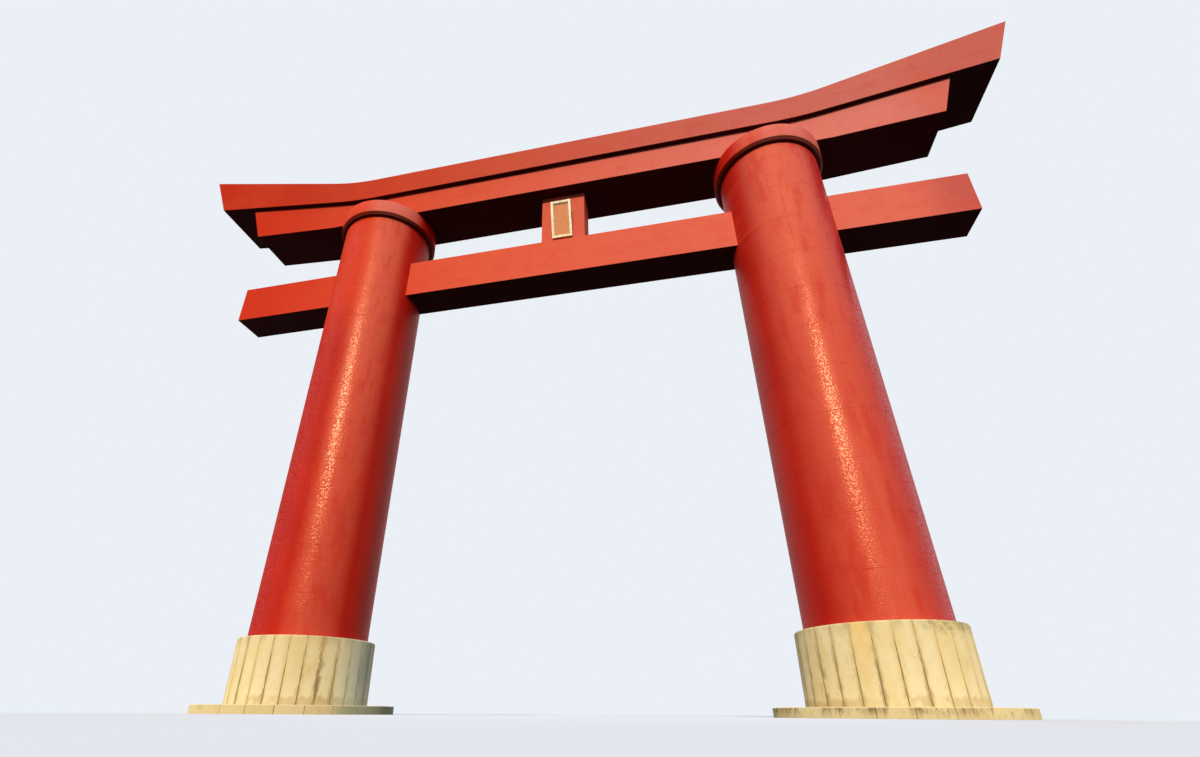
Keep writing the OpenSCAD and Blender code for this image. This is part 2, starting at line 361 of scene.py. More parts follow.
# Where a paler band is painted on the posts and rings, partly sun bleaching and partly a painted sheen where
# the sun's broad gloss falls, by azimuth and by height, and where a pale glow is painted on the rings
POST_SHEEN_SIDE = {LEFT: Stretch(303, 0.84, 1.0), RIGHT: Stretch(272, 0.58, 1.0)}
RING_SHEEN_SIDE = {LEFT: Stretch(275, 0.35, 1.0), RIGHT: Stretch(272, 0.73, 1.0)}
SHEEN_RISE = Fade(3.0, 21.0, 0.4, 0.75)
RING_GLOW_SIDE = {LEFT: Stretch(305, 0.87, 1.07, 0.6), RIGHT: Stretch(300, 0.6, 1.0, 0.6)}
# Red streaks that run down the posts, and light ripples across their upper part
STREAKS = Marks(2.4, (1, 1, 0.28), detail=5.0, roughness=0.6)
STREAKS_FADE = Fade(0.46, 0.66, 0.0, 0.42)
RIPPLES = Marks(1.6, (0.25, 0.25, 2.2))
RIPPLES_FADE = Fade(0.5, 0.75, 0.0, 0.22)
UPPER = Fade(14.0, 18.0)
SEAM_SHARE = 0.13
# On the right post: the formwork joint, a narrow painted highlight low in front where the sun's glint falls,
# and a crimson side painted as the sky's reflection
JOINT_SHARE = 0.3
HIGHLIGHT_STRIP = Stretch(277, 0.972, 0.996, 0.3)
HIGHLIGHT_STRIP_END = Fade(6.0, 11.0, 1.0, 0.0)
CRIMSON_REFLECTION = Stretch(345, 0.55, 0.95, 0.5)
# On the left post: an orange upper part on its sunward side, painted sunlight
SUNLIT_ORANGE = Stretch(256, 0.75, 0.95, 0.6)
# Share of painted shade on the faces of the posts and rings that look down
POST_UNDERSIDE_SHADE = 0.98
# Gloss: the front that keeps it, the specks it shows in, at a scale that counts in that of the brush marks,
# and the roughness from none of it to all, with more on the left post's far side
GLOSSY = Stretch(277, 0.45, 0.8)
SPECKS = Marks(1.3, (1, 1, 0.8), detail=4.0, roughness=0.65)
SPECKS_FADE = Fade(0.44, 0.57)
POST_ROUGHNESS = Fade(0.0, 1.0, 0.56, 0.19)
ROUGH = Stretch(200, 0.3, 0.9, 0.4)
# Brush marks: their scale, their depth at a scale of 1, and their strength from the sides to the front
BRUSH_SCALE = {LEFT: 10.5, RIGHT: 14.0}
BRUSH_DEPTH = 0.09
BRUSH_STRENGTH = Fade(0.0, 1.0, 0.15, 1.0)
PAINT_SURFACE = {"Specular Tint": (1.0, 0.5, 0.22, 1.0), "Coat Roughness": 0.15}
POST_SURFACE = {**PAINT_SURFACE, "Specular IOR Level": 0.4, "Coat Weight": 0.03}
RING_SURFACE = {**PAINT_SURFACE, "Specular IOR Level": 0.1, "Coat Weight": 0.0}


def post_paint(name, side, surface, sheen_side, glow_side=None):
    """Thick vermilion paint, streaked, a little different for each pour, brushed and glossy in front, with a
    painted sheen and highlight where the sun falls and painted shade below.
    """
    finish = Finish(f"{name}_paint", surface)
    place = post_place(finish, side)
    upper = finish.fade(place.z, UPPER)
    # Reds of the paint itself
    pour_tone, seam = pour_marks(finish, place, side)
    tone = finish.total((finish.marks(POST_PATCHES, place), PATCHES_WEIGHT),
                        (finish.marks(POST_RUNS, place), RUNS_WEIGHT), (pour_tone, POUR_WEIGHT))
    colour = finish.layer(POST_DARK, POST_LIGHT, tone, TONE_FADE)
    colour = finish.mix(EVEN_SHARE, colour, POST_RED)
    # A painted sheen where the sun's broad gloss falls, partly sun bleaching, then what rain and the formwork
    # have left on it
    painted_sheen = finish.times(finish.within(place, POST_R, sheen_side), finish.fade(place.z, SHEEN_RISE))
    colour = finish.mix(painted_sheen, colour, POST_PAINTED_SHEEN)
    colour = finish.layer(colour, POST_RED, finish.marks(STREAKS, place), STREAKS_FADE)
    ripples = finish.times(finish.fade(finish.marks(RIPPLES, place), RIPPLES_FADE), upper)
    colour = finish.mix(ripples, colour, VERMILION_LIGHT)
    colour = finish.mix(finish.times(seam, SEAM_SHARE), colour, SEAM_RED)
    # What only one side or a ring has, much of it painted light
    if side == RIGHT:
        colour = finish.mix(finish.times(upright_joint(finish, place), JOINT_SHARE), colour, SEAM_RED)
        # A narrow painted highlight low in front, where the sun's glint falls
        painted_highlight = finish.times(finish.within(place, POST_R, HIGHLIGHT_STRIP), finish.fade(place.z, HIGHLIGHT_STRIP_END))
        colour = finish.mix(painted_highlight, colour, POST_PAINTED_SHEEN)
        # A bluer crimson side, painted as the sky's reflection
        colour = finish.mix(finish.within(place, POST_R, CRIMSON_REFLECTION), colour, POST_CRIMSON_REFLECTION)
    else:
        # An orange upper part on the sunward side, painted sunlight
        colour = finish.mix(finish.times(finish.within(place, POST_R, SUNLIT_ORANGE), upper), colour, POST_SUNLIT_ORANGE)
    # A pale glow painted on a ring's face
    if glow_side:
        colour = finish.mix(finish.within(place, POST_R, glow_side), colour, VERMILION_PAINTED_GLOW)
    # Painted shade on the faces that look down
    colour = painted_underside_shade(finish, colour, POST_UNDERSIDE_SHADE)
    # Gloss in specks, and brush marks
    front = finish.within(place, POST_R, GLOSSY)
    brush = BRUSH._replace(scale=BRUSH_SCALE[side])
    specks = SPECKS._replace(scale=SPECKS.scale * brush.scale)
    glossy = finish.times(finish.fade(finish.marks(specks, place), SPECKS_FADE), front)
    roughness = finish.fade(glossy, POST_ROUGHNESS)
    if side == LEFT:
        roughness = finish.math("ADD", roughness, finish.within(place, POST_R, ROUGH))
    relief = Relief(BRUSH_DEPTH / brush.scale, finish.fade(front, BRUSH_STRENGTH))
    normal = finish.bump(finish.marks(brush), relief)
    finish.put(normal, finish.surface.inputs["Coat Normal"])
    return finish.wear(colour, roughness, normal)


# A paler red painted on the right of the beams as a reflection of the sky
VERMILION_SKY_SHEEN = (0.73, 0.15, 0.1)
# A dull red for the strut's painted shade
VERMILION_DULL_SHADE = (0.33, 0.138, 0.095)
VERMILION_DIM = (0.2, 0.03, 0.06)
# Shares of the beams' half width over which the paint turns lighter, then paler and pinker to the right as a
# painted reflection of the sky, and dark at the far tips
LIGHTER = Fade(-0.95, -0.1)
SKY_SHEEN_RIGHTWARD = Fade(-0.45, 0.75)
DARK_TIPS = Fade(0.7, 0.88, 0.0, 0.2)
# The same for the dim tip of the tie beam, in shares of its own half width
DIM_TIP = Fade(0.85, 0.97, 0.0, 0.25)
BEAM_RUNS = Marks(1.9, (1, 1, 0.12), detail=5.0)
BEAM_RUNS_FADE = Fade(0.5, 0.8, 0.0, 0.08)
BEAM_CLOUDS = Marks(0.35, detail=5.0)
BEAM_CLOUDS_FADE = Fade(0.48, 0.72, 0.0, 0.25)
BEAM_SPECKS = Marks(5.0, detail=5.0, roughness=0.7)
BEAM_SPECKS_FADE = Fade(0.5, 0.78, 0.0, 0.2)
SMUDGES = Marks(2.2, (0.35, 1, 1), detail=5.0, roughness=0.65)
SMUDGES_FADE = Fade(0.5, 0.72, 0.0, 0.2)
# Share of painted shade on the faces of the beams that look down
BEAM_UNDERSIDE_SHADE = 0.99
BEAM_ROUGHNESS = Fade(0.3, 0.7, 0.6, 0.7)
BEAM_RELIEF = Relief(0.006, 0.8)
BEAM_SURFACE = {"Specular IOR Level": 0.02}
# How far the whole of a beam is darkened by painted shade: the top lintel, whose faces lean out from the sun,
# and the strut, set back under the lower lintel
TOP_SHADE = 0.15
STRUT_SHADE = 0.12


def beam_paint(name, shade=0.0, shade_colour=VERMILION_DARK, painted_sheen=VERMILION_SKY_SHEEN, dim_tip=False):
    """Matt vermilion paint on flat faces, lighter and paler to the right as a painted reflection of the sky,
    with faint runs and smudges, and painted shade below.
    """
    finish = Finish(name, BEAM_SURFACE)
    along = finish.math("DIVIDE", finish.place.x, BEAM_HALF)
    colour = finish.layer(VERMILION, VERMILION_LIGHT, along, LIGHTER)
    # Lighter and paler to the right, a painted reflection of the sky
    colour = finish.layer(colour, painted_sheen, along, SKY_SHEEN_RIGHTWARD)
    # Painted shade over the whole beam
    colour = finish.mix(shade, colour, shade_colour)
    colour = finish.layer(colour, VERMILION_DARK, along, DARK_TIPS)
    if dim_tip:
        colour = finish.layer(colour, VERMILION_DIM, finish.math("DIVIDE", finish.place.x, TIE_HALF), DIM_TIP)
    clouds = finish.marks(BEAM_CLOUDS)
    colour = finish.layer(colour, VERMILION_DARK, finish.marks(BEAM_RUNS), BEAM_RUNS_FADE)
    colour = finish.layer(colour, VERMILION_LIGHT, clouds, BEAM_CLOUDS_FADE)
    colour = finish.layer(colour, VERMILION_DARK, finish.marks(BEAM_SPECKS), BEAM_SPECKS_FADE)
    colour = finish.layer(colour, VERMILION, finish.marks(SMUDGES), SMUDGES_FADE)
    # Painted shade on the faces that look down
    colour = painted_underside_shade(finish, colour, BEAM_UNDERSIDE_SHADE)
    normal = finish.bump(finish.marks(BRUSH), BEAM_RELIEF)
    return finish.wear(colour, finish.fade(clouds, BEAM_ROUGHNESS), normal)


STONE_SURFACE = {"Specular IOR Level": 0.15, "Diffuse Roughness": 0.4}
PANEL_SURFACE = {**STONE_SURFACE, "Roughness": 0.8}
KERB_SURFACE = {**STONE_SURFACE, "Roughness": 0.85}

CREAM = (0.84, 0.67, 0.33)
PALE = (0.88, 0.75, 0.46)
BUFF = (0.82, 0.63, 0.29)
OCHRE = (0.88, 0.59, 0.16)
STAIN = (0.26, 0.17, 0.06)
SOOT = (0.2, 0.17, 0.09)
SPLASH = (0.52, 0.32, 0.08)
# Grey-green painted as the sky light on the left drum's shaded side, with some algae
MOSSY_SKYLIT = (0.7, 0.82, 0.7)
# Keep the draws of the two sides apart
PANEL_LOTS = 31.0
JOINT_LOTS = 57.0
# Clouds about as wide as a panel, and finer marks that fray the stains
DRUM_CLOUDS = Marks(1.3, (1, 1, 0.5), detail=4.0)
DRUM_RAGGED = Marks(6.0, (1, 1, 0.5), detail=5.0, roughness=0.6)
# From the middle of a panel to its edge, in panels
TO_EDGE = Fade(0.2, 0.5, 1.0, 0.0)
WORN_CLOUDS = Fade(0.35, 0.6)
WORN_SHARE = 0.9
# The side that faces the passage, as a share of the radius
PASSAGE = Fade(0.2, 0.8)
# The right drum's one ochre panel: its number, and its share by height, clouds and place across
OCHRE_PANEL = math.floor(turns_at(math.radians(244), RIGHT, PANELS)) % PANELS
OCHRE_RISE = Fade(0.45 * DRUM_H, 0.85 * DRUM_H, 0.06, 0.95)
OCHRE_CLOUDS = Fade(0.3, 0.6, 1.0, 0.55)
OCHRE_TO_EDGE = Fade(0.2, 0.5, 1.0, 0.4)
# Stains along the joints: half the joint and the widths in panels, which go by luck, by height and by side
HALF_JOINT = PANEL_JOINT / 2 * PANELS / (math.tau * DRUM_R)
STAIN_LUCK_WIDTH = Fade(0.4, 1.0, 0.02, 0.08)
STAIN_FOOT = Fade(BED_H, BED_H + 0.8, 1.0, 0.0)
STAIN_FOOT_WIDTH = 0.05
STAIN_PASSAGE_WIDTH = 0.12
STAIN_RAGGED_WIDTH = Fade(0.34, 0.66, 0.1, 2.1)
STAIN_LUCK = Fade(0.2, 1.0, 0.25, 0.6)
STAIN_PASSAGE = 0.3
STAIN_RISE = Fade(0.45 * DRUM_H, 0.95 * DRUM_H, 1.0, 0.45)
# Dirt that runs down from the rim, and soot on the right drum's rim
RIM_RUNS = Marks(3.0, (1, 1, 0.22), detail=5.0)
RIM_RUNS_FADE = Fade(0.42, 0.66)
RIM_RISE = Fade(DRUM_H - 0.4, DRUM_H)
RIM_SHARE = 0.35
SOOTY_SIDE = Stretch(319, 0.7, 0.9)
SOOT_SPECKS = Marks(7.0, (1, 1, 0.7), detail=6.0, roughness=0.75)
SOOT_RAGGED = 0.9
SOOT_RISE = Fade(DRUM_H, DRUM_H + 0.45)
SOOT_SHARE = Fade(0.42, 0.62, 0.1, 0.6)
# Patchy splashes above the kerb, whose ragged top comes from the clouds and the fine marks
SPLASH_CLOUDY = -0.4
SPLASH_RAGGED = -0.3
SPLASH_TOP = Fade(BED_H - 0.2, BED_H - 0.06, 1.0, 0.0)
SPLASH_CLOUDS = Fade(0.5, 0.6, 0.0, 0.8)
SPLASH_SHARE = 0.5
# The side of the left drum away from the sun, painted greener and bluer for the sky light in its shade, with
# some algae
SKYLIT_SHADE_SIDE = Stretch(0, 0.82, 1.04, 0.6)
BLOTCHES = Marks(5.0, (1, 1, 0.6), detail=6.0, roughness=0.7)
BLOTCHES_FADE = Fade(0.5, 0.75, 0.0, 0.2)
PANEL_GRAIN = Marks(40.0, detail=4.0, roughness=0.7)
PANEL_GRAIN_FADE = Fade(0.35, 0.75, 0.0, 0.15)
PANEL_RELIEF = Relief(0.004, 0.5)


def joint_stains(finish, place, turns, side, passage, ragged):
    """Share of the dark stains along a drum's joints, now wide, now narrow, and most beside the passage."""
    off = finish.math("SUBTRACT", 0.5 - HALF_JOINT, off_middle_of(finish, turns))
    joint = finish.math("FLOOR", finish.math("ADD", turns, 0.5))
    luck = finish.lottery(joint, side * JOINT_LOTS)
    width = finish.total((finish.fade(luck, STAIN_LUCK_WIDTH), 1.0), (passage, STAIN_PASSAGE_WIDTH),
                         (finish.fade(place.z, STAIN_FOOT), STAIN_FOOT_WIDTH))
    width = finish.times(width, finish.fade(ragged, STAIN_RAGGED_WIDTH))
    stained = finish.math("SUBTRACT", 1.0, finish.math("DIVIDE", off, width), clamp=True)
    strength = finish.total((finish.fade(luck, STAIN_LUCK), 1.0), (passage, STAIN_PASSAGE))
    return finish.times(stained, strength, finish.fade(place.z, STAIN_RISE))


def panel_stone(name, side):
    """Cream panels, each in its own tone, stained along the joints, at the rim and near the ground."""
    finish = Finish(f"{name}_panel_stone", PANEL_SURFACE)
    place = base_place(finish, side)
    turns = turns_round(finish, place, side, PANELS)
    panel = finish.math("FLOOR", turns)
    off_middle = off_middle_of(finish, turns)
    clouds = finish.marks(DRUM_CLOUDS, place)
    ragged = finish.marks(DRUM_RAGGED, place)
    passage = finish.fade(finish.times(place.x, -side / DRUM_R), PASSAGE)
    # Each panel's own colour, paler along its middle
    colour = finish.mix(finish.lottery(panel, side * PANEL_LOTS), CREAM, BUFF)
    worn = finish.times(finish.fade(off_middle, TO_EDGE), finish.fade(clouds, WORN_CLOUDS), WORN_SHARE)
    colour = finish.mix(worn, colour, PALE)
    if side == RIGHT:
        chosen = finish.math("COMPARE", panel, OCHRE_PANEL, 0.5)
        ochre = finish.times(chosen, finish.fade(place.z, OCHRE_RISE), finish.fade(clouds, OCHRE_CLOUDS),
                             finish.fade(off_middle, OCHRE_TO_EDGE))
        colour = finish.mix(ochre, colour, OCHRE)
    # Stains along the joints, under the rim and above the kerb
    colour = finish.mix(joint_stains(finish, place, turns, side, passage, ragged), colour, STAIN)
    runs = finish.fade(finish.marks(RIM_RUNS, place), RIM_RUNS_FADE)
    colour = finish.mix(finish.times(finish.fade(place.z, RIM_RISE), runs, RIM_SHARE), colour, STAIN)
    splash_top = finish.total((place.z, 1.0), (clouds, SPLASH_CLOUDY), (ragged, SPLASH_RAGGED))
    patchy = finish.math("MAXIMUM", finish.fade(clouds, SPLASH_CLOUDS), passage)
    splash = finish.times(finish.fade(splash_top, SPLASH_TOP), patchy, SPLASH_SHARE)
    colour = finish.mix(splash, colour, SPLASH)
    if side == RIGHT:
        specks = finish.marks(SOOT_SPECKS, place)
        ragged_z = finish.math("MULTIPLY_ADD", specks, SOOT_RAGGED, place.z)
        soot = finish.times(finish.within(place, DRUM_R, SOOTY_SIDE), finish.fade(ragged_z, SOOT_RISE),
                            finish.fade(specks, SOOT_SHARE))
        colour = finish.mix(soot, colour, SOOT)
    else:
        # Painted bluish sky light on the side in shade, with some algae
        colour = finish.mix(finish.within(place, DRUM_R, SKYLIT_SHADE_SIDE), colour, MOSSY_SKYLIT)
    colour = finish.layer(colour, STAIN, finish.marks(BLOTCHES, place), BLOTCHES_FADE)
    grain = finish.marks(PANEL_GRAIN)
    colour = finish.layer(colour, BUFF, grain, PANEL_GRAIN_FADE)
    return finish.wear(colour, normal=finish.bump(grain, PANEL_RELIEF))


MORTAR = (0.2, 0.13, 0.055)
MORTAR_PALE = (0.7, 0.53, 0.27)
MORTAR_DIRT = Marks(4.0, (1, 1, 0.6), detail=5.0, roughness=0.65)
MORTAR_LOW = Fade(0.35 * DRUM_H, 0.95 * DRUM_H, 0.14, -0.08)
MORTAR_FADE = Fade(0.38, 0.62)
MORTAR_GRAIN = Marks(60.0)
MORTAR_RELIEF = Relief(0.004)
MORTAR_SURFACE = {"Roughness": 0.9}


def mortar():
    """Pale filling near the rim, dark with dirt lower down and in blotches."""
    finish = Finish("joint_mortar", MORTAR_SURFACE)
    dirt = finish.math("ADD", finish.marks(MORTAR_DIRT), finish.fade(finish.place.z, MORTAR_LOW))
    colour = finish.layer(MORTAR_PALE, MORTAR, dirt, MORTAR_FADE)
    return finish.wear(colour, normal=finish.bump(finish.marks(MORTAR_GRAIN), MORTAR_RELIEF))


KERB_PALE = (0.9, 0.74, 0.4)
KERB_BUFF = (0.86, 0.68, 0.34)
KERB_STAIN = (0.27, 0.15, 0.045)
# Dark green-grey painted as shade, with moss, on the left kerb's far side
KERB_SHADE_MOSSY = (0.32, 0.37, 0.25)
# Keeps the draws of the two sides apart
KERB_LOTS = 31.0
KERB_GRAIN = Marks(30.0, detail=5.0, roughness=0.7)
KERB_GRAIN_FADE = Fade(0.4, 0.75, 0.06, 0.2)
KERB_RELIEF = Relief(0.006, 0.6)
# Dark patches, which fade towards the ground and break up into drips
KERB_PATCHES = Marks(2.6, (1, 1, 0.5), detail=6.0, roughness=0.7)
KERB_DARK = {LEFT: Fade(0.5, 0.75, 0.0, 0.5), RIGHT: Fade(0.42, 0.56, 0.0, 0.85)}
KERB_RISE = Fade(0.1 * KERB_H, 0.8 * KERB_H, 0.25, 1.0)
KERB_DRIPS = Marks(13.0, (1, 1, 0.15), detail=4.0)
KERB_DRIPS_FADE = Fade(0.35, 0.6, 0.35, 1.0)
# The side of the left kerb away from the sun, painted dark green-grey as shade with moss, and the worn edge
# of both
KERB_SHADED_SIDE = Stretch(0, 0.74, 0.9, 0.75)
KERB_EDGE = Fade(KERB_H - 0.035, KERB_H - 0.015, 0.0, 0.8)


def kerb_stone(name, side):
    """Sawn buff kerb blocks with a pale worn edge and dark patches that run down from it."""
    finish = Finish(f"{name}_kerb_stone", KERB_SURFACE)
    place = base_place(finish, side)
    block = finish.math("FLOOR", turns_round(finish, place, side, KERB_BLOCKS))
    colour = finish.mix(finish.lottery(block, side * KERB_LOTS), KERB_PALE, KERB_BUFF)
    grain = finish.marks(KERB_GRAIN)
    colour = finish.layer(colour, KERB_STAIN, grain, KERB_GRAIN_FADE)
    patches = finish.fade(finish.marks(KERB_PATCHES, place), KERB_DARK[side])
    drips = finish.fade(finish.marks(KERB_DRIPS, place), KERB_DRIPS_FADE)
    colour = finish.mix(finish.times(patches, finish.fade(place.z, KERB_RISE), drips), colour, KERB_STAIN)
    if side == LEFT:
        # Painted shade, with moss, on the far side of the left kerb
        colour = finish.mix(finish.within(place, KERB_R, KERB_SHADED_SIDE), colour, KERB_SHADE_MOSSY)
    colour = finish.layer(colour, PALE, place.z, KERB_EDGE)
    return finish.wear(colour, normal=finish.bump(grain, KERB_RELIEF))


BED_PALE = (0.44, 0.41, 0.34)
BED_DARK = (0.3, 0.27, 0.22)
BED_CLOUDS = Marks(1.5, detail=6.0)
BED_SURFACE = {"Roughness": 0.9}
CORE_PALE = (0.62, 0.5, 0.3)
CORE_DARK = (0.36, 0.3, 0.21)
CORE_CLOUDS = Marks(2.0, detail=6.0)
CORE_SURFACE = {"Roughness": 0.85}
CONCRETE_FADE = Fade(0.3, 0.7)
CONCRETE_GRAIN = Marks(50.0)
CONCRETE_RELIEF = Relief(0.003)


def concrete(name, surface, pale, dark, clouds):
    """Cloudy cast concrete with a fine grain."""
    finish = Finish(name, surface)
    colour = finish.layer(pale, dark, finish.marks(clouds), CONCRETE_FADE)
    return finish.wear(colour, normal=finish.bump(finish.marks(CONCRETE_GRAIN), CONCRETE_RELIEF))


GILT = (0.6, 0.5, 0.32)
GILT_WORN = (0.5, 0.38, 0.2)
GILT_WEAR = Marks(9.0, detail=5.0)
GILT_FADE = Fade(0.45, 0.75)
GILT_ROUGHNESS = Fade(0.3, 0.7, 0.42, 0.6)
GILT_RELIEF = Relief(0.004, 0.4)
GILT_SURFACE = {"Metallic": 0.3}
LACQUER = (0.8, 0.3, 0.12)
LACQUER_WORN = (0.74, 0.26, 0.1)
LACQUER_WEAR = Marks(7.0, (1, 1, 0.3), detail=5.0)
LACQUER_FADE = Fade(0.35, 0.7)
LACQUER_RELIEF = Relief(0.004, 0.3)
LACQUER_SURFACE = {"Roughness": 0.6, "Specular IOR Level": 0.12}
IRON = (0.05, 0.045, 0.04)
RUST = (0.2, 0.08, 0.04)
RUST_MARKS = Marks(12.0, detail=5.0)
RUST_FADE = Fade(0.5, 0.7)
RUST_RELIEF = Relief(0.003)
IRON_SURFACE = {"Roughness": 0.6, "Metallic": 0.5}


def gilding():
    finish = Finish("tablet_gilding", GILT_SURFACE)
    wear = finish.marks(GILT_WEAR)
    colour = finish.layer(GILT, GILT_WORN, wear, GILT_FADE)
    return finish.wear(colour, finish.fade(wear, GILT_ROUGHNESS), finish.bump(wear, GILT_RELIEF))


def lacquer():
    finish = Finish("tablet_lacquer", LACQUER_SURFACE)
    wear = finish.marks(LACQUER_WEAR)
    colour = finish.layer(LACQUER, LACQUER_WORN, wear, LACQUER_FADE)
    return finish.wear(colour, normal=finish.bump(wear, LACQUER_RELIEF))


def iron():
    finish = Finish("bearer_iron", IRON_SURFACE)
    rust = finish.marks(RUST_MARKS)
    return finish.wear(finish.layer(IRON, RUST, rust, RUST_FADE), normal=finish.bump(rust, RUST_RELIEF))


# A smooth piece stays flat where a face's normal points up or down by more than this
FLAT_FROM = 0.6


def dress(node, material):
    """Gives a CAD node's object its finish."""
    mesh = frame["nodes"][node].data
    mesh.materials.clear()
    mesh.materials.append(material)


def piece(name, mesh, material, slot, *nodes, smooth=False):
    """A piece of the scene, which may stand for CAD nodes."""
    obj = bpy.data.objects.new(name, mesh)
    bpy.context.scene.collection.objects.link(obj)
    mesh.materials.clear()
    mesh.materials.append(material)
    for face in mesh.polygons:
        face.use_smooth = smooth and abs(face.normal.z) < FLAT_FROM
    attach(obj, "root")
    if nodes:
        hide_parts(*nodes)


def mesh_from(bm, name):
    bmesh.ops.recalc_face_normals(bm, faces=bm.faces)
    mesh = bpy.data.meshes.new(name)
    bm.to_mesh(mesh)
    bm.free()
    return mesh


def join_rows(bm, one, other):
    """Faces all the way round between two rows of as many points."""
    count = len(one)
    for i in range(count):
        j = (i + 1) % count
        bm.faces.new((one[i], one[j], other[j], other[i]))


def add_stack(bm, outlines):
    """Closed solid through outlines that lie one above the other and have as many points each."""
    rows = [[bm.verts.new(point) for point in outline] for outline in outlines]
    for lower, upper in zip(rows, rows[1:]):
        join_rows(bm, lower, upper)
    bm.faces.new(reversed(rows[0]))
    bm.faces.new(rows[-1])


def sector_outline(centre_x, z, inner_r, outer_r, start, end, arris):
    """Plan of a stretch of a ring, with its two outer corners cut off."""
    cut = arris / outer_r
    face = end - start - 2 * cut
    points = [(outer_r - arris, start)]
    points += [(outer_r, start + cut + face * i / FACE_STEPS) for i in range(FACE_STEPS + 1)]
    points += [(outer_r - arris, end)]
    points += [(inner_r, end - (end - start) * i / FACE_STEPS) for i in range(FACE_STEPS + 1)]
    return [(centre_x + r * math.cos(a), r * math.sin(a), z) for r, a in points]


def rounded_edge(top, outer, bevel, bend_down):
    """Heights and radii of an upright face whose top edge is rounded off in two slopes."""
    return [(0.0, outer), (top - bevel, outer), (top - bevel * bend_down, outer - bevel * BEND_BACK),
            (top, outer - bevel)]


def drum_panels(name, side):
    """The ring of upright panels, each a little in or out of line."""
    rng = random.Random(f"{name} panels")
    bm = bmesh.new()
    step = math.tau / PANELS
    half_joint = PANEL_JOINT / 2 / DRUM_R
    for i in range(PANELS):
        start = FRONT[side] + (i - 0.5) * step + half_joint
        end = start + step - 2 * half_joint
        outer = DRUM_R - rng.uniform(0.0, PANEL_PLAY)
        add_stack(bm, [sector_outline(side * BASE_X, z, DRUM_R - PANEL_T, r, start, end, PANEL_ARRIS)
                       for z, r in rounded_edge(DRUM_H, outer, PANEL_BEVEL, PANEL_BEND_DOWN)])
    return mesh_from(bm, f"{name}_drum_panels")


def drum_mortar(name, side):
    """The recessed filling that shows between the panels."""
    bm = bmesh.new()
    outer = DRUM_R - MORTAR_DEPTH
    inner = DRUM_R - PANEL_T - MORTAR_BEHIND_PANELS
    top = DRUM_H - MORTAR_BELOW_RIM
    profile = [(inner, BED_H), (outer, BED_H), (outer, DRUM_H - PANEL_BEVEL), (outer - MORTAR_BEVEL, top),
               (inner, top)]
    angles = [math.tau * i / MORTAR_STEPS for i in range(MORTAR_STEPS)]
    rings = [[bm.verts.new((side * BASE_X + r * math.cos(a), r * math.sin(a), z)) for a in angles]
             for r, z in profile]
    for one, other in zip(rings, rings[1:] + rings[:1]):
        join_rows(bm, one, other)
    return mesh_from(bm, f"{name}_drum_mortar")


def kerb_blocks(name, side):
    """Separate kerb blocks with worn edges."""
    rng = random.Random(f"{name} kerb")
    bm = bmesh.new()
    step = math.tau / KERB_BLOCKS
    half_joint = KERB_JOINT / 2 / KERB_R
    for i in range(KERB_BLOCKS):
        start = FRONT[side] + (i - 0.5) * step + half_joint + rng.uniform(-KERB_END_PLAY, KERB_END_PLAY)
        end = FRONT[side] + (i + 0.5) * step - half_joint + rng.uniform(-KERB_END_PLAY, KERB_END_PLAY)
        outer = KERB_R - rng.uniform(0.0, KERB_PLAY)
        top = KERB_H - rng.uniform(0.0, KERB_TOP_PLAY)
        add_stack(bm, [sector_outline(side * BASE_X, z, KERB_R - KERB_W, r, start, end, KERB_ARRIS)
                       for z, r in rounded_edge(top, outer, KERB_ARRIS, KERB_BEND_DOWN)])
    return mesh_from(bm, f"{name}_kerb_blocks")


# Points closer than this are welded, edges flatter than the first angle go, and those past the second are
# sharp
WELD = 0.0005
FLAT_WITHIN = math.radians(0.05)
SHARP_FROM = math.radians(30)
ARRIS_STEPS = 2
ARRIS_PROFILE = 0.6


def softened(name, nodes, arris):
    """The nodes' own shape as one mesh, welded where they meet, with its sharp edges taken off."""
    bm = bmesh.new()
    for node in nodes:
        bm.from_mesh(frame["nodes"][node].data)
    bmesh.ops.remove_doubles(bm, verts=bm.verts, dist=WELD)
    inner = [face for face in bm.faces if all(len(edge.link_faces) > 2 for edge in face.edges)]
    bmesh.ops.delete(bm, geom=inner, context="FACES_ONLY")
    bmesh.ops.dissolve_limit(bm, angle_limit=FLAT_WITHIN, verts=bm.verts, edges=bm.edges)
    sharp = [edge for edge in bm.edges if len(edge.link_faces) == 2 and edge.calc_face_angle() > SHARP_FROM]
    bmesh.ops.bevel(bm, geom=sharp, offset=arris, segments=ARRIS_STEPS, profile=ARRIS_PROFILE,
                    affect="EDGES", clamp_overlap=True)
    return mesh_from(bm, name)


def make_post(name, side):
    paint = post_paint(f"{name}_post", side, POST_SURFACE, POST_SHEEN_SIDE[side])
    for part in ("foot", "middle", "crossing", "neck"):
        dress(f"{name}_post_{part}", paint)
    band = softened(f"{name}_ring_band", [f"{name}_ring"], RING_ARRIS)
    paint = post_paint(f"{name}_ring", side, RING_SURFACE, RING_SHEEN_SIDE[side], RING_GLOW_SIDE[side])
    piece(f"{name}_ring_band", band, paint, "ring_paint", f"{name}_ring", smooth=True)


def make_base(name, side):
    piece(f"{name}_drum_panels", drum_panels(name, side), panel_stone(name, side), "drum_panel",
          f"{name}_drum_cladding")
    piece(f"{name}_drum_mortar", drum_mortar(name, side), mortar(), "drum_panel")
    dress(f"{name}_drum_core", concrete("drum_concrete", CORE_SURFACE, CORE_PALE, CORE_DARK, CORE_CLOUDS))
    dress(f"{name}_bed", concrete("bed_concrete", BED_SURFACE, BED_PALE, BED_DARK, BED_CLOUDS))
    piece(f"{name}_kerb_blocks", kerb_blocks(name, side), kerb_stone(name, side), "kerb_stone",
          f"{name}_kerb")


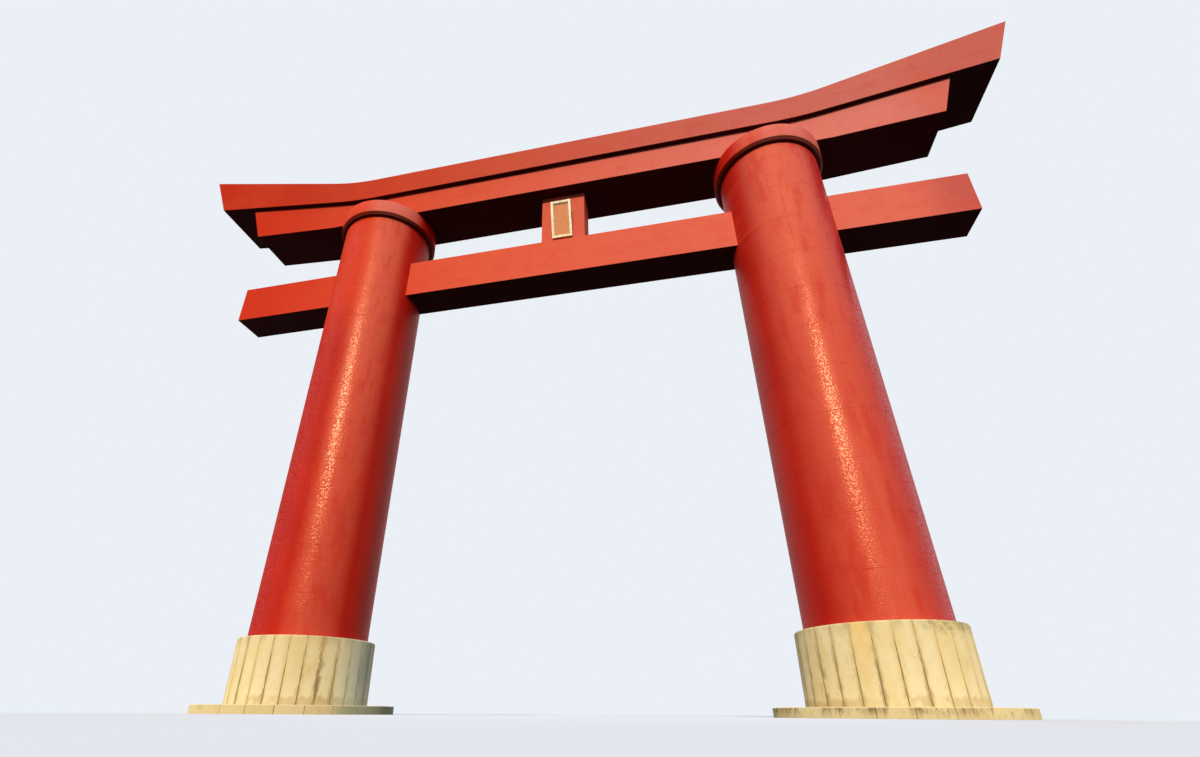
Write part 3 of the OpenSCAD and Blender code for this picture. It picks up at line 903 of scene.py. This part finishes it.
def make_beam(beam, paint, parts=()):
    nodes = [f"{beam}_{part}" for part in parts] or [beam]
    piece(f"{beam}_cast", softened(f"{beam}_cast", nodes, BEAM_ARRIS), paint, "beam_paint", *nodes)


def make_gate():
    for name, side in SIDES.items():
        make_post(name, side)
        make_base(name, side)
    lengths = ("left", "centre", "right")
    make_beam("lower_lintel", beam_paint("lintel_paint", painted_sheen=VERMILION_PAINTED_GLOW), lengths)
    make_beam("top_lintel", beam_paint("top_paint", shade=TOP_SHADE, painted_sheen=VERMILION_PAINTED_GLOW), lengths)
    make_beam("tie_beam", beam_paint("tie_paint", dim_tip=True))
    make_beam("strut", beam_paint("strut_paint", shade=STRUT_SHADE, shade_colour=VERMILION_DULL_SHADE))
    dress("tablet_board", lacquer())
    dress("tablet_frame", gilding())
    dress("tablet_bearers", iron())


# The camera that the photograph was taken with, lifted just clear of the floor: place in metres, turns in
# radians, and lens and middle of the picture in pixels
CAMERA_PLACE = (4.328, -20.049, 0.06)
YAW = -0.22325
PITCH = 0.44534
ROLL = 0.00678
LENS_PX = 574.33
CENTRE_PX = (559.53, 439.84)
PICTURE_PX = (1200, 757)
SENSOR = 36.0
SEEN_TO = 1000.0


def make_camera():
    width, height = PICTURE_PX
    data = bpy.data.cameras.new("camera")
    data.sensor_fit = "HORIZONTAL"
    data.sensor_width = SENSOR
    data.lens = SENSOR * LENS_PX / width
    data.shift_x = (width / 2 - CENTRE_PX[0]) / width
    data.shift_y = (CENTRE_PX[1] - height / 2) / width
    data.clip_end = SEEN_TO
    ahead = Vector((math.sin(YAW) * math.cos(PITCH), math.cos(YAW) * math.cos(PITCH), math.sin(PITCH)))
    across = Vector((math.cos(YAW), -math.sin(YAW), 0.0))
    up = across.cross(ahead)
    rolled_across = across * math.cos(ROLL) + up * math.sin(ROLL)
    rolled_up = up * math.cos(ROLL) - across * math.sin(ROLL)
    turn = Matrix((rolled_across, rolled_up, -ahead)).transposed().to_4x4()
    camera = bpy.data.objects.new("camera", data)
    camera.matrix_world = Matrix.Translation(CAMERA_PLACE) @ turn
    bpy.context.scene.collection.objects.link(camera)
    bpy.context.scene.camera = camera


FLOOR_HALF = 400.0
FLOOR_Z = -0.001
FLOOR_SURFACE = {"Roughness": 0.9, "Specular IOR Level": 0.0}
FLOOR_SEEN = (0.86, 0.9, 0.96)
FLOOR_THROWN = (0.025, 0.025, 0.025)
BACKDROP = (0.83, 0.87, 0.92)
SKY_LIGHT = (0.36, 0.41, 0.47)
# A sun's azimuth, height and size in degrees, its strength over pi, its colour, and whether it shows in gloss
Sun = namedtuple("Sun", "name azimuth height size strength colour glossy")
SUNS = (Sun("key", 273, 25, 3, 0.92, (1.0, 0.92, 0.78), True),
        Sun("fill", 205, 30, 60, 0.12, (1.0, 0.98, 0.95), False),
        Sun("back", 100, 40, 40, 0.25, (0.95, 0.98, 1.0), False))


def plainly_seen(tree):
    """1 to the camera, in gloss and through glass, and 0 to the light that comes off soft surfaces."""
    path = tree.nodes.new("ShaderNodeLightPath")
    seen = path.outputs["Is Camera Ray"]
    for ray in ("Is Glossy Ray", "Is Transmission Ray"):
        more = tree.nodes.new("ShaderNodeMath")
        more.operation = "MAXIMUM"
        tree.links.new(seen, more.inputs[0])
        tree.links.new(path.outputs[ray], more.inputs[1])
        seen = more.outputs[0]
    return seen


def make_floor():
    """A pale floor to the eye and in gloss, which throws little light back up on the beams."""
    bm = bmesh.new()
    corners = ((-1, -1), (1, -1), (1, 1), (-1, 1))
    bm.faces.new([bm.verts.new((x * FLOOR_HALF, y * FLOOR_HALF, FLOOR_Z)) for x, y in corners])
    mesh = mesh_from(bm, "floor")
    finish = Finish("floor_pale", FLOOR_SURFACE)
    mesh.materials.append(finish.wear(finish.mix(plainly_seen(finish.tree), FLOOR_THROWN, FLOOR_SEEN)))
    floor = bpy.data.objects.new("floor", mesh)
    bpy.context.scene.collection.objects.link(floor)


def make_world():
    """A pale backdrop to the eye and in gloss, and an even light on the rest."""
    world = bpy.data.worlds.new("studio")
    world.use_nodes = True
    tree = world.node_tree
    mix = tree.nodes.new("ShaderNodeMix")
    mix.data_type = "RGBA"
    tree.links.new(plainly_seen(tree), mix.inputs["Factor"])
    mix.inputs[MIX_ONE].default_value = (*SKY_LIGHT, 1.0)
    mix.inputs[MIX_OTHER].default_value = (*BACKDROP, 1.0)
    tree.links.new(mix.outputs[2], tree.nodes["Background"].inputs["Color"])
    bpy.context.scene.world = world


def make_suns():
    for sun in SUNS:
        data = bpy.data.lights.new(sun.name, "SUN")
        data.energy = sun.strength * math.pi
        data.angle = math.radians(sun.size)
        data.color = sun.colour
        obj = bpy.data.objects.new(sun.name, data)
        obj.visible_glossy = sun.glossy
        azimuth = math.radians(sun.azimuth)
        height = math.radians(sun.height)
        level = math.cos(height)
        towards = Vector((math.cos(azimuth) * level, math.sin(azimuth) * level, math.sin(height)))
        obj.rotation_mode = "QUATERNION"
        obj.rotation_quaternion = towards.to_track_quat("Z", "Y")
        bpy.context.scene.collection.objects.link(obj)


make_camera()
make_gate()
make_floor()
make_world()
make_suns()
bpy.context.scene.view_settings.view_transform = "Standard"
